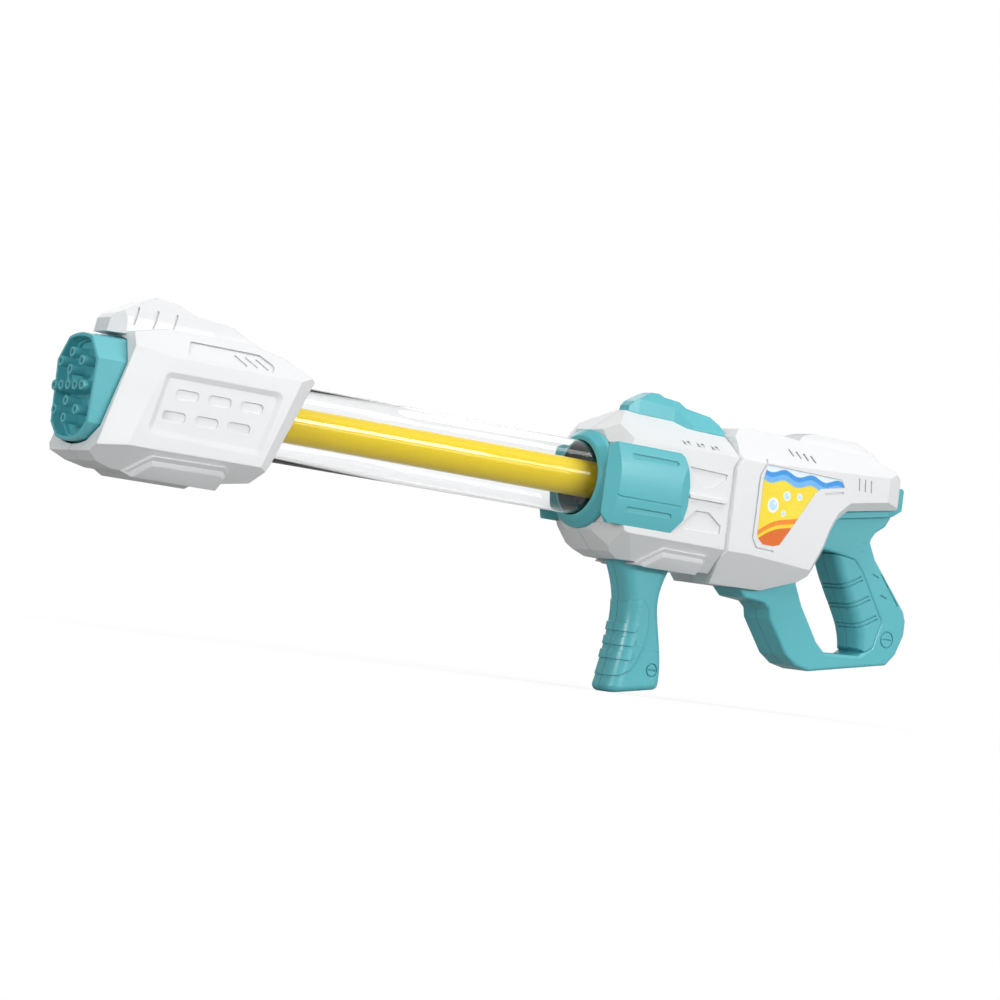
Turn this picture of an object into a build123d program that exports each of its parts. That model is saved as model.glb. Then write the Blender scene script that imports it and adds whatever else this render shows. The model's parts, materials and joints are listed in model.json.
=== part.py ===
"""A hand-pumped toy blaster: thirteen jets, a clear barrel, a sliding rear body with a D-handle.

Millimetres, +Z up, the barrel along X with its nozzle towards -X. The origin is the middle of the fore
grip's base. Outlines are given from the collar's mouth on the barrel's axis: first aft (+X), then up (+Z).
"""
from build123d import *
import math
import os

os.makedirs("parts", exist_ok=True)

# Where the barrel's axis lies, seen from the origin in the middle of the fore grip's base
grip_base = [(42.0, -140.6), (86.5, -133.8)]
collar_x = -(grip_base[0][0] + grip_base[1][0]) / 2
axis_z = -(grip_base[0][1] + grip_base[1][1]) / 2

# Barrel and pump
barrel_r = 25.0
barrel_wall = 2.0
rod_r = 12.0
rod_wall = 2.0
stroke = 320.0
barrel_front = -322.0
piston_front = -319.0
piston_length = 22.0
seal_width = 3.5
seal_clearance = 0.05
rod_clearance = 0.08
running_gap = 0.3
bumper_thick = 4.0
guide_wall = 4.0
guide_sleeve = 12.0

# Housings
wall = 2.2
seam_gap = 0.5
seat_gap = 0.1
panel_depth = 1.2
slot_depth = 1.9
rib_thick = 2.4
screw_r = 1.4
screw_head_r = 2.7
screw_head_thick = 1.8
wide_seat = 12.0  # the screws' seats from the middle plane: head and fore body
slim_seat = 10.0  # the same in the grips and the rear body
boss_r = 3.6
tongue_half = 10.0
tongue_gap = 0.2
half_span = 80.0  # wider than any half of the toy

# Nozzle
jet_r = 3.1
jet_bore_r = 1.6
jet_pitch = 9.24
jet_rise = 14.56  # from the middle row to the middle of each diamond
jet_spread = (14.1, 5.2)  # half width and half height of each diamond
rim_x = -373.0
jet_tip_x = -377.0
dish_depth = 9.0
cowl_wall = 2.4
cowl_length = 30.0
plate_thick = 3.0
gasket_thick = 1.5

# Collar
collar_r = 33.5
collar_length = 14.0

# Half widths across Y
head_half = (31.0, 34.0)  # front and rear
fore_half = 38.0
drum_half = 41.5
rear_half = (37.0, 27.0)  # front and tail
fore_grip_half = 14.0
handle_half = 15.0

bore_r = barrel_r - barrel_wall
piston_rear = piston_front + piston_length
bumper_x = piston_rear + stroke + running_gap
guide_x = bumper_x + bumper_thick
barrel_rear = guide_x


def side(y=0.0):
    """The plane of a view from the left, moved out to the left by y."""
    return Plane(origin=(collar_x, -y, axis_z), x_dir=(1, 0, 0), z_dir=(0, -1, 0))


def across(x):
    """The plane across the barrel, x behind the collar's mouth, seen along +X."""
    return Plane(origin=(collar_x + x, 0, axis_z), x_dir=(0, 1, 0), z_dir=(1, 0, 0))


def above():
    """The plane of a view from above, through the barrel's axis."""
    return Plane(origin=(collar_x, 0, axis_z), x_dir=(1, 0, 0), z_dir=(0, 0, 1))


def mirrored(points):
    """A right-hand outline and its mirror image on the left, as one closed ring of points."""
    return list(points) + [(-a, b) for a, b in reversed(points) if a != 0]


def both_sides(points):
    """The same for a view from above, where the mirror image lies across the X axis."""
    return list(points) + [(a, -b) for a, b in reversed(points) if b != 0]


def moved_in(points, inset):
    """A closed outline with every edge moved inwards by the inset, so that its corners stay corners."""
    pairs = list(zip(points, points[1:] + points[:1]))
    turn = math.copysign(1, sum(x0 * z1 - x1 * z0 for (x0, z0), (x1, z1) in pairs))
    edges = []
    for (x0, z0), (x1, z1) in pairs:
        length = math.hypot(x1 - x0, z1 - z0)
        dx, dz = (x1 - x0) / length, (z1 - z0) / length
        edges.append((x0 - turn * dz * inset, z0 + turn * dx * inset, dx, dz))
    corners = []
    for (ax, az, adx, adz), (bx, bz, bdx, bdz) in zip(edges[-1:] + edges[:-1], edges):
        cross = adx * bdz - adz * bdx
        along = ((bx - ax) * bdz - (bz - az) * bdx) / cross
        corners.append((ax + along * adx, az + along * adz))
    return corners


def prism(plane, points, near, far, inset=0.0, rounding=0.0):
    """A straight-sided solid on an outline, between two distances along the plane's normal."""
    with BuildPart() as made:
        with BuildSketch(plane.offset(near)):
            with BuildLine():
                Polyline(*moved_in(points, inset), close=True)
            make_face()
            if rounding:
                fillet(vertices(), radius=rounding)
        extrude(amount=far - near)
    return made.part


def faceted(side_view, front_view, top_view, inset=0.0, lean=0.0):
    """A faceted body: the common part of three outlines, each moved in by the inset.

    With a lean, the outline seen from above shifts aft as it rises, by that much a millimetre.
    """
    from_left = prism(side(), side_view, -half_span, half_span, inset)
    from_front = prism(across(0), front_view, -500, 400, inset)
    with BuildPart() as made:
        with BuildSketch(above()):
            with BuildLine():
                Polyline(*moved_in(top_view, inset), close=True)
            make_face()
        extrude(amount=2 * half_span, dir=(lean, 0, 1), both=True)
        add(from_left, mode=Mode.INTERSECT)
        add(from_front, mode=Mode.INTERSECT)
    return made.part


def sunk(points, outer, depth, frame):
    """A shallow tray to take out of both side walls: its rim slopes in by the frame's width."""
    with BuildPart() as made:
        for hand in (1, -1):
            for y, inset in ((outer, 0.0), (outer - depth, frame)):
                with BuildSketch(side(hand * y)):
                    with BuildLine():
                        Polyline(*moved_in(points, inset), close=True)
                    make_face()
                    fillet(vertices(), radius=4 - inset / 2)
            loft(ruled=True)
    return made.part


def button(plane, x, z, radius):
    """A moulded mark to sink into a wall: a ring with a bar across it."""
    with BuildPart() as made:
        with BuildSketch(plane):
            with Locations((x, z)):
                Circle(radius)
                Circle(radius - 0.9, mode=Mode.SUBTRACT)
                Rectangle(1.3 * radius, 1.0)
        extrude(amount=2 * half_span, both=True)
    return made.part


def pocket(points, outer, floor, rounding=0.0):
    """What a pocket in both side walls takes away: the outline, between a body and its inset floor."""
    made = prism(side(), points, -half_span, half_span, rounding=rounding)
    return (made & outer) - floor


def strip(points, width):
    """A thin closed outline that follows a run of points at a constant width, as a moulded line does."""
    left, right = [], []
    for index, (x, z) in enumerate(points):
        x0, z0 = points[max(index - 1, 0)]
        x1, z1 = points[min(index + 1, len(points) - 1)]
        length = math.hypot(x1 - x0, z1 - z0)
        dx, dz = -(z1 - z0) / length * width / 2, (x1 - x0) / length * width / 2
        left.append((x + dx, z + dz))
        right.append((x - dx, z - dz))
    return left + right[::-1]


def rod_along_x(x0, x1, radius, y=0.0, z=0.0):
    """A cylinder along the barrel between two stations."""
    with BuildPart() as made:
        with BuildSketch(across(x0)):
            with Locations((y, z)):
                Circle(radius)
        extrude(amount=x1 - x0)
    return made.part


def rod_along_y(x, z, radius, y0, y1):
    """A cylinder across the toy; y counts to the left."""
    with BuildPart() as made:
        with BuildSketch(side(y0)):
            with Locations((x, z)):
                Circle(radius)
        extrude(amount=y1 - y0)
    return made.part


def turned(profile):
    """A solid of revolution round the barrel's axis, from (station, radius) points."""
    with BuildPart() as made:
        with BuildSketch(side()):
            with BuildLine():
                Polyline(*profile, close=True)
            make_face()
        revolve(axis=Axis((collar_x, 0, axis_z), (1, 0, 0)))
    return made.part


def band(x0, x1, outer, inner):
    """A ring round the barrel's axis."""
    return turned([(x0, inner), (x1, inner), (x1, outer), (x0, outer)])


def write(part, name):
    """Label a finished piece and write its file."""
    part.label = name
    export_step(part, f"parts/{name}.step")


def write_halves(shell, name):
    """Part a shell on the middle plane and write its left and right halves."""
    for hand, keep in (("left", Keep.TOP), ("right", Keep.BOTTOM)):
        with BuildPart() as half:
            add(shell)
            split(bisect_by=Plane.XZ, keep=keep)
        write(half.part, f"{name}_{hand}")


def bosses(places):
    """Screw posts right across a housing, to be cut back to its skin."""
    return [rod_along_y(x, z, boss_r, -half_span, half_span) for x, z in places]


def screw_holes(places, seat):
    """The pilot holes, and the wells from the right-hand side down to the screws' seats."""
    made = []
    for x, z in places:
        made.append(rod_along_y(x, z, screw_r + seat_gap, -half_span, seat - 1))
        made.append(rod_along_y(x, z, screw_head_r + 0.3, -half_span, -seat))
    return made


def screw_set(places, seat):
    """The cross-head screws in those holes."""
    made = []
    for x, z in places:
        with BuildPart() as screw:
            add(rod_along_y(x, z, screw_r, -seat, seat - 2))
            add(rod_along_y(x, z, screw_head_r, -seat - screw_head_thick, -seat))
            with BuildSketch(side(-seat - screw_head_thick)):
                with Locations((x, z)):
                    Rectangle(3.2, 0.7)
                    Rectangle(0.7, 3.2)
            extrude(amount=0.8, mode=Mode.SUBTRACT)
        made.append(screw.part)
    return Compound(children=made)


def tongue(points, gap=0.0):
    """A tongue that ties two housings together, or with a gap the slot that takes it."""
    return prism(side(), points, -tongue_half - gap, tongue_half + gap, -gap)


# ---------------------------------------------------------------- nozzle
dish_x = rim_x + dish_depth
plate_rear = dish_x + plate_thick
gasket_rear = plate_rear + gasket_thick
cowl_rear = rim_x + cowl_length
cup_r = barrel_r + 3.0
cup_bore_r = 21.0
cup_neck_r = cup_bore_r + rib_thick
cup_rear = barrel_front + 16.0
cup_shoulder = barrel_front - gasket_thick
socket_r = barrel_r + 0.05  # where the barrel is held


def nozzle_outline(grow=0.0):
    """The nozzle's rim: straight cheeks, an arched crown and an arched chin, moved out by grow."""
    with BuildSketch() as outline:
        with BuildLine():
            Polyline((-15.3, 30.1), (-27.4, 16.5), (-25.4, -21.6), (-15.6, -30.6))
            ThreePointArc((-15.6, -30.6), (0, -32.6), (15.6, -30.6))
            Polyline((15.6, -30.6), (25.4, -21.6), (27.4, 16.5), (15.3, 30.1))
            ThreePointArc((15.3, 30.1), (0, 32.4), (-15.3, 30.1))
        make_face()
        if grow:
            offset(amount=grow, kind=Kind.INTERSECTION)
    return outline.sketch


cowl_shape = nozzle_outline()
cowl_bore = nozzle_outline(-cowl_wall)
cowl_ledge = nozzle_outline(-cowl_wall - 1.5)
plate_shape = nozzle_outline(-cowl_wall - 0.15)
cowl_hole = nozzle_outline(1.4)

with BuildPart() as cowl:
    with BuildSketch(across(rim_x)):
        add(cowl_shape)
    extrude(amount=cowl_length, taper=-2)
    fillet(cowl.faces().sort_by(Axis.X)[0].edges(), radius=1.0)
    with BuildSketch(across(rim_x)):
        add(cowl_bore)
    extrude(amount=dish_depth - 2, mode=Mode.SUBTRACT)
    with BuildSketch(across(dish_x - 2)):
        add(cowl_ledge)
    extrude(amount=2, mode=Mode.SUBTRACT)
    with BuildSketch(across(dish_x)):
        add(cowl_bore)
    extrude(amount=cowl_length, mode=Mode.SUBTRACT)
write(cowl.part, "nozzle_cowl")

diamond = [(jet_spread[0], 0), (-jet_spread[0], 0), (0, jet_spread[1]), (0, -jet_spread[1])]
jet_places = [(jet_pitch * n, 0) for n in range(-2, 3)]
jet_places += [(y, z + jet_rise) for y, z in diamond]
jet_places += [(y, z - jet_rise) for y, z in diamond]
with BuildPart() as jets:
    with BuildSketch(across(dish_x)):
        add(plate_shape)
    extrude(amount=plate_thick)
    for y, z in jet_places:
        with BuildSketch(across(dish_x)):
            with Locations((y, z)):
                Circle(jet_r + 0.9)
        extrude(amount=-4, taper=14)
    with BuildSketch(across(dish_x)):
        with Locations(*jet_places):
            Circle(jet_r)
    extrude(amount=jet_tip_x - dish_x)
    with BuildSketch(across(jet_tip_x)):
        with Locations(*jet_places):
            Circle(jet_bore_r)
    extrude(amount=plate_rear - jet_tip_x, mode=Mode.SUBTRACT)
write(jets.part, "jet_plate")

with BuildPart() as gasket:
    with BuildSketch(across(plate_rear)):
        add(plate_shape)
        Circle(cup_bore_r + 1.0, mode=Mode.SUBTRACT)
    extrude(amount=gasket_thick)
write(gasket.part, "manifold_gasket")

cup_body = turned([
    (gasket_rear, cup_bore_r), (cup_shoulder, cup_bore_r), (cup_shoulder, socket_r), (cup_rear, socket_r),
    (cup_rear, cup_r), (cowl_rear, cup_r), (cowl_rear, cup_neck_r), (gasket_rear, cup_neck_r),
])
with BuildPart() as cup:
    with BuildSketch(across(gasket_rear)):
        add(plate_shape)
        Circle(cup_bore_r, mode=Mode.SUBTRACT)
    extrude(amount=plate_thick)
    add(cup_body)
write(cup.part, "manifold_cup")
write(band(cup_shoulder, barrel_front, barrel_r, bore_r), "barrel_seal")
write(band(barrel_front, barrel_rear, barrel_r, bore_r), "clear_barrel")

# ---------------------------------------------------------------- head
head_lean = 0.37
head_side = [
    (-367.5, -31), (-370, -38), (-362, -43), (-350, -46), (-284, -46.3), (-275, -44.2), (-259, -41.5),
    (-250.3, -28), (-226.5, 26), (-246, 38.5), (-268, 43), (-323, 42.6), (-349, 36.5),
]
head_front = mirrored([(15, -48), (35, -30.5), (35, 23.5), (13, 45)])
head_top = both_sides([
    (-385, 30.3), (-358, head_half[0]), (-338, head_half[1]), (-247, head_half[1]), (-236, head_half[1] - 5),
])


def head_form(inset=0.0):
    """The head: its sides' edges lean aft as they rise."""
    return faceted(head_side, head_front, head_top, inset, head_lean)


head_outer = head_form()
head_inner = head_form(wall)
head_skin = head_form(panel_depth)
head_slot_floor = head_form(slot_depth + panel_depth)
head_groove_floor = head_form(slot_depth)
head_proud = head_form(-2.0)

head_panel = [(-330, 15.6), (-248.5, 15.6), (-260.5, -24.8), (-338.5, -22.4)]
head_slots = []
for row, start in ((3.4, -321.5), (-10.3, -328.5)):
    for n in range(3):
        head_slots.append((start + 22.2 * n, row))
head_brow = [(-317, 26.5), (-311, 37), (-263, 37), (-254.5, 31), (-258, 26.5)]
head_block = [(-341, -46), (-330, -35.5), (-282.5, -35), (-278.5, -37.5), (-278, -46)]
head_screw_places = [(-330, 35.5), (-272, 35.5), (-330, -37), (-272, -37)]

with BuildPart() as head_core:
    for x, radius in ((cowl_rear, cup_r), (cup_rear - 6.0, cup_r), (-270.0, barrel_r)):
        with BuildSketch(across(x)):
            Rectangle(2 * half_span, 2 * half_span)
            Circle(radius + seat_gap, mode=Mode.SUBTRACT)
        extrude(amount=rib_thick)
    add(bosses(head_screw_places))
    add(head_groove_floor, mode=Mode.INTERSECT)

with BuildPart() as head_shell:
    add(head_outer)
    add(sunk(head_panel, head_half[1], panel_depth, 3.2), mode=Mode.SUBTRACT)
    add(pocket(head_brow, head_outer, head_skin, rounding=2), mode=Mode.SUBTRACT)
    add(prism(side(), head_block, -half_span, half_span) & head_proud)
    for x, z in head_slots:
        slot = [(x - 0.6, z - 2.8), (x + 14.6, z - 2.8), (x + 15.4, z + 2.8), (x, z + 2.8)]
        add(pocket(slot, head_outer, head_slot_floor, rounding=2.2), mode=Mode.SUBTRACT)
    for n in range(3):
        x = -278 + 7.4 * n
        groove = strip([(x - 3.2, 33.4), (x + 3.2, 28)], 1.3)
        add(pocket(groove, head_outer, head_groove_floor), mode=Mode.SUBTRACT)
    add(head_inner, mode=Mode.SUBTRACT)
    add(head_core.part)
    with BuildSketch(across(-400)):
        add(cowl_hole)
    extrude(amount=400 + cowl_rear, mode=Mode.SUBTRACT)
    add(rod_along_x(-260, -200, barrel_r + seat_gap), mode=Mode.SUBTRACT)
    add(screw_holes(head_screw_places, wide_seat), mode=Mode.SUBTRACT)
write_halves(head_shell.part, "head")
write(screw_set(head_screw_places, wide_seat), "head_screws")

crest = [
    (-361, 35), (-359.5, 43.5), (-356, 47), (-339, 56.5), (-331, 60.2), (-327, 59.8), (-314, 58.2),
    (-306, 54.2), (-278, 51.5), (-269, 47), (-257, 43), (-252, 40), (-252, 36), (-345, 35),
]
crest_front = mirrored([(13.5, 30), (12.5, 46), (8.5, 62)])
crest_top = both_sides([(-362, 8), (-350, 12.8), (-294, 12.8), (-250, 8)])
with BuildPart() as head_cover:
    add(faceted(crest, crest_front, crest_top))
    for x in (-346, -333, -320):
        groove = prism(side(), strip([(x, 41), (x + 3.2, 52)], 1.2), -half_span, half_span)
        add(groove - faceted(crest, crest_front, crest_top, 0.8), mode=Mode.SUBTRACT)
    add(head_outer, mode=Mode.SUBTRACT)
write(head_cover.part, "head_top_cover")

# ---------------------------------------------------------------- fore body
seam = [(112, -62), (107, -42), (106, -33), (105.5, 23), (110, 30), (113.5, 41), (113.5, 64)]
behind_seam = seam + [(400, 64), (400, -62)]
ahead_of_seam = seam + [(60, 64), (60, -62)]
fore_side = [
    (8, -33.8), (21, -46.5), (30, -50.5), (130, -51), (130, 45), (80, 45.5), (68, 50.5), (31, 50.5),
    (8, 33.8),
]
fore_front = mirrored([(20, -51.5), (fore_half, -33), (fore_half, 29.5), (4.5, 50.8)])
fore_top = both_sides([(8, 35), (10, fore_half), (130, fore_half - 1)])
chin_at = (18.6, 38.0, -32.0)  # a point on the facet under each cheek of the snout
chin_facing = (-0.164, 0.622, -0.766)


def fore_form(inset=0.0):
    """The fore body: three outlines, an eight-sided snout, a facet under each cheek and the stepped seam."""
    blank = faceted(fore_side, fore_front, fore_top, inset)
    with BuildPart() as snout:
        for x, half in ((8.0 + inset, 34.2 - inset), (48.0, 90.2 - inset)):
            with BuildSketch(across(x)):
                RegularPolygon(half, 8, major_radius=False, rotation=22.5)
        loft()
        with BuildSketch(across(47)):
            Rectangle(2 * half_span, 2 * half_span)
        extrude(amount=90)
        add(blank, mode=Mode.INTERSECT)
        for hand in (1, -1):
            facing = Vector(chin_facing[0], hand * chin_facing[1], chin_facing[2]).normalized()
            corner = Vector(collar_x + chin_at[0], hand * chin_at[1], axis_z + chin_at[2])
            split(bisect_by=Plane(origin=corner - facing * inset, z_dir=facing), keep=Keep.BOTTOM)
    return snout.part - prism(side(), behind_seam, -half_span, half_span, -inset)


fore_outer = fore_form()
fore_inner = fore_form(wall)
fore_skin = fore_form(1.0)
fore_proud = fore_form(-2.0)
drum_outline = [
    (0, 22), (4, 25.4), (58, 25.4), (61.5, 23), (66.5, 13), (69, 4), (69, -9), (66, -18.5), (57.5, -28.7),
    (4, -28.7), (0, -23),
]
fore_block = [(42, -53), (58, -39.5), (95, -40), (97, -53)]
notch_up = [(68, 17.8), (100.8, 16.9), (100.5, 13.5), (91, 6.2), (81.5, 5.3), (71, 12.6)]
notch_down = [(69, -19), (77.5, -10.8), (89, -10.8), (100.5, -18.4), (100.5, -24), (69, -24)]
side_rib = strip([(69.6, -1.5), (102, -1.5)], 3.0)
fore_screw_places = [(34, 40), (96, 38), (34, -40), (96, -40)]
grip_tongue = [(46, -56), (46, -43), (74, -43), (74, -56)]
grip_lid = [(20, -57.5), (20, -40), (100, -40), (100, -57.5)]

with BuildPart() as fore_core:
    for x, radius in ((guide_x - 9, barrel_r + 2.6), (guide_x + 16, rod_r + 1.0), (80.0, rod_r + 1.0)):
        with BuildSketch(across(x)):
            Rectangle(2 * half_span, 2 * half_span)
            Circle(radius + seat_gap, mode=Mode.SUBTRACT)
        extrude(amount=rib_thick)
    add(bosses(fore_screw_places))
    add(fore_skin, mode=Mode.INTERSECT)

drum_seat = pocket(drum_outline, fore_outer, fore_skin)
belly_block = prism(side(), fore_block, -half_span, half_span) & fore_proud
with BuildPart() as fore_shell:
    add(fore_outer)
    add(belly_block)
    add(prism(side(), side_rib, -fore_half - 0.9, fore_half + 0.9, rounding=1.2))
    add(drum_seat, mode=Mode.SUBTRACT)
    for notch in (notch_up, notch_down):
        add(pocket(notch, fore_outer, fore_skin), mode=Mode.SUBTRACT)
    add(fore_inner, mode=Mode.SUBTRACT)
    add(fore_core.part)
    for n in range(3):
        for x, flip in ((65 + 12.5 * n, 1), (69.5 + 12.5 * n, -1)):
            vent = [(x - 1.6, 34 - 1.4 * flip), (x + 1.6, 34 - 1.4 * flip), (x, 34 + 1.8 * flip)]
            add(prism(side(), vent, -half_span, half_span), mode=Mode.SUBTRACT)
    add(rod_along_x(0, 16, 29.0 + seat_gap), mode=Mode.SUBTRACT)
    add(rod_along_x(90, 130, rod_r + 0.5), mode=Mode.SUBTRACT)
    add(tongue(grip_tongue, tongue_gap), mode=Mode.SUBTRACT)
    add(screw_holes(fore_screw_places, wide_seat), mode=Mode.SUBTRACT)
write_halves(fore_shell.part, "fore_shell")
write(screw_set(fore_screw_places, wide_seat), "fore_screws")

with BuildPart() as collar:
    add(turned([
        (0, barrel_r + running_gap), (8, barrel_r + running_gap), (8, collar_r), (5.5, collar_r),
        (0, collar_r - 5),
    ]))
    shoulders = collar.edges().filter_by(GeomType.CIRCLE).filter_by(lambda e: e.radius > collar_r - 6)
    fillet(shoulders.sort_by(Axis.X)[:2], radius=2.5)
    add(band(8, collar_length, 29.0, barrel_r + running_gap))
write(collar.part, "collar_ring")

drum_bulge_r = 106.0
drum_top = [(-1, 33.9), (8, drum_half), (60, drum_half), (71, 37.8), (71, 33), (-1, 33)]
with BuildPart() as drum:
    add(prism(side(), drum_outline, 33.9, half_span))
    add(prism(above(), [(x, -y) for x, y in drum_top], -half_span, half_span), mode=Mode.INTERSECT)
    add(rod_along_x(-20, 90, drum_bulge_r, y=drum_bulge_r - drum_half), mode=Mode.INTERSECT)
    for z, x0, x1 in ((17.6, 16.4, 56), (-18, 16.2, 55)):
        with BuildSketch(side(drum_half - 2.4)):
            with Locations(((x0 + x1) / 2, z)):
                SlotOverall(x1 - x0, 3.2)
        extrude(amount=10, mode=Mode.SUBTRACT)
    drum_line = strip([(-1, -7), (10, -10.4), (68, -10.4)], 0.8)
    add(prism(side(), drum_line, drum_half - 1.0, half_span), mode=Mode.SUBTRACT)
    add(fore_outer - drum_seat, mode=Mode.SUBTRACT)
write(drum.part, "drum_panel_left")
with BuildPart() as drum_right:
    add(mirror(drum.part, about=Plane.XZ, mode=Mode.PRIVATE))
write(drum_right.part, "drum_panel_right")

fin = [
    (33, 48), (34.5, 54.5), (38, 58), (50, 65), (53, 66), (59, 66), (63, 64.3), (76, 63.2), (82, 59.7),
    (103, 57), (110, 52), (112.5, 48), (112.5, 40), (33, 40),
]
fin_front = mirrored([(15, 38), (14.5, 46), (7, 58), (4.5, 68)])
fin_top = both_sides([(33, 5), (42, 6.5), (72, 7), (86, 13.5), (112.6, 14)])
with BuildPart() as top_fin:
    add(faceted(fin, fin_front, fin_top))
    add(fore_outer, mode=Mode.SUBTRACT)
write(top_fin.part, "top_fin")

guide = turned([
    (guide_x - guide_sleeve, socket_r), (guide_x, socket_r), (guide_x, rod_r + rod_clearance),
    (guide_x + 14, rod_r + rod_clearance), (guide_x + 14, rod_r + 4), (guide_x + guide_wall, rod_r + 4),
    (guide_x + guide_wall, barrel_r + 2.5), (guide_x - guide_sleeve, barrel_r + 2.5),
])
write(guide, "rod_guide")
write(band(bumper_x, guide_x, bore_r - 0.1, rod_r + 1.0), "stop_bumper")

# ---------------------------------------------------------------- fore grip
grip_front = [(35, -44), (46, -62), (50.6, -78), (50.2, -100), (46.5, -122), grip_base[0]]
grip_back = [grip_base[1], (85.6, -112), (80.4, -90), (78, -73), (82, -57), (88, -44)]
grip_swell = [
    (25, -78.5), (50, -77.6), (60, -74), (66, -81), (67.8, -90), (67.2, -99.4), (64.8, -108.8),
    (61.6, -116), (57, -123), (50, -127.5), (41, -129.3), (25, -129.6),
]
grip_button = (75.8, -121.6)
grip_rounding = 9.0


def fore_grip_form(inset=0.0):
    """The fore grip: two flowing edges between the body and a flat base, with rounded long edges."""
    corners = moved_in(grip_front + grip_back, inset)
    front, back = corners[:len(grip_front)], corners[len(grip_front):]
    with BuildPart() as made:
        with BuildSketch(side(-(fore_grip_half - inset))):
            with BuildLine():
                Spline(*front)
                Line(front[-1], back[0])
                Spline(*back)
                Line(back[-1], front[0])
            make_face()
        extrude(amount=2 * (fore_grip_half - inset))
        fillet(made.edges().filter_by(GeomType.BSPLINE), radius=grip_rounding - inset)
        if not inset:
            fillet(made.faces().sort_by(Axis.Z)[0].edges(), radius=4)
    return made.part


fore_grip_outer = fore_grip_form()
fore_grip_inner = fore_grip_form(2.4)
fore_grip_skin = fore_grip_form(1.0)
grip_screw_places = [(64, -70), (64, -118)]
with BuildPart() as fore_grip:
    add(fore_grip_outer)
    add(prism(side(), grip_swell, -half_span, half_span) & fore_grip_form(-0.7))
    for n in range(3):
        x, z = 58.3 - 0.6 * n, -94.9 - 9.6 * n
        ridge = [(25, z - 3), (x, z - 3), (x, z + 3), (25, z + 3)]
        add(prism(side(), ridge, -half_span, half_span, rounding=2.8) & fore_grip_form(-1.6))
    add(button(side(), *grip_button, 4.8) - fore_grip_skin, mode=Mode.SUBTRACT)
    add(fore_grip_inner - prism(side(), grip_lid, -half_span, half_span), mode=Mode.SUBTRACT)
    for x, z in grip_screw_places:
        add(rod_along_y(x, z, boss_r, -fore_grip_half, fore_grip_half))
    add(fore_outer, mode=Mode.SUBTRACT)
    add(belly_block, mode=Mode.SUBTRACT)
    add(tongue(grip_tongue))
    add(screw_holes(grip_screw_places, slim_seat), mode=Mode.SUBTRACT)
write_halves(fore_grip.part, "fore_grip")
write(screw_set(grip_screw_places, slim_seat), "fore_grip_screws")

# ---------------------------------------------------------------- rear body
rear_chamfer = 6.0
seam_bevel = 3.8
rear_side = [
    (98, -57.5), (157, -56.5), (184, -46.7), (196, -35), (203, -22), (208, -8), (213, 1), (222, 8.5),
    (270.5, 15.8), (277.5, 19), (281, 23), (281, 28), (276, 32.5), (263, 43), (251, 48.6), (240, 50.4),
    (184, 51.6), (160, 53.5), (135, 53.8), (121, 52), (113, 44.5), (98, 44.5),
]
rear_front = mirrored([(18, -59), (rear_half[0], -34), (rear_half[0], 30), (14, 57)])
rear_top = both_sides([(98, rear_half[0]), (130, rear_half[0]), (256, 31), (270, 26), (282, 14)])
anchor_x = 136.0
anchor_r = 3.0
anchor_half = 18.0
rod_rear = 152.0
rod_front = piston_rear - 14.0


def rear_form(inset=0.0):
    """The rear body behind the stepped seam, bevelled at the seam and along its edge over the D-handle."""
    with BuildPart() as made:
        add(faceted(rear_side, rear_front, rear_top, inset))
        cheeks = made.faces().filter_by(lambda f: abs(f.normal_at().Y) > 0.9)
        hem = [
            e for e in cheeks.edges()
            if e.center().X > collar_x + 190 and axis_z - 30 < e.center().Z < axis_z + 24
            and e.length > 4 and abs(e.tangent_at(0.5).Y) < 0.3
        ]
        chamfer(hem, length=rear_chamfer - 0.59 * inset)
        add(prism(side(), ahead_of_seam, -half_span, half_span, -seam_gap - inset), mode=Mode.SUBTRACT)
        for hand in (1, -1):
            for y, back in ((rear_half[0] - seam_bevel, 0.0), (rear_half[0] + 1, seam_bevel + 1)):
                cut_back = [(x + back, z) for x, z in ahead_of_seam]
                with BuildSketch(side(hand * (y - inset))):
                    with BuildLine():
                        Polyline(*moved_in(cut_back, -seam_gap - inset), close=True)
                    make_face()
            loft(ruled=True, mode=Mode.SUBTRACT)
    return made.part


rear_outer = rear_form()
rear_inner = rear_form(wall)
rear_skin = rear_form(0.8)
label_top = rear_form(0.4)
label_outline = [
    (136, 29.5), (208, 29), (211.5, 24), (189, 20), (184, 16), (163, -14.5), (156, -24), (150, -25.6),
    (140, -25.5), (134, -21), (133.5, 19.5),
]
label_grooves = [
    strip([(136.5, 33), (130, 21), (130, -22.5), (135, -29), (151, -29.3)], 1.2),
    strip([(211, 20.3), (193, 16.6)], 1.2),
]
tail_grooves = [strip([(x + 0.6, 24), (x - 0.6, 32.5)], 1.2) for x in (225.5, 231.5, 237.5)]
spine = [(181, 50), (188, 57.5), (197, 60), (239, 59.7), (257, 53), (263, 46), (258, 40), (182, 40)]
rear_screw_places = [(124, 41), (124, -45), (204, 43), (180, -37), (264, 32)]
front_tongue = [(150, -62), (150, -46), (172, -46), (172, -62)]
tail_tongue = [(232, 2), (232, 19), (256, 22), (256, 6)]

with BuildPart() as rear_core:
    for x in (117.0, anchor_x + 12):
        with BuildSketch(across(x)):
            Rectangle(2 * half_span, 2 * half_span)
            Circle(rod_r + seat_gap, mode=Mode.SUBTRACT)
        extrude(amount=rib_thick)
    add(bosses(rear_screw_places))
    for y0, y1 in ((rod_r + 1, half_span), (-half_span, -rod_r - 1)):
        add(rod_along_y(anchor_x, 0, anchor_r + 3, y0, y1))
    add(rear_skin, mode=Mode.INTERSECT)

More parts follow.
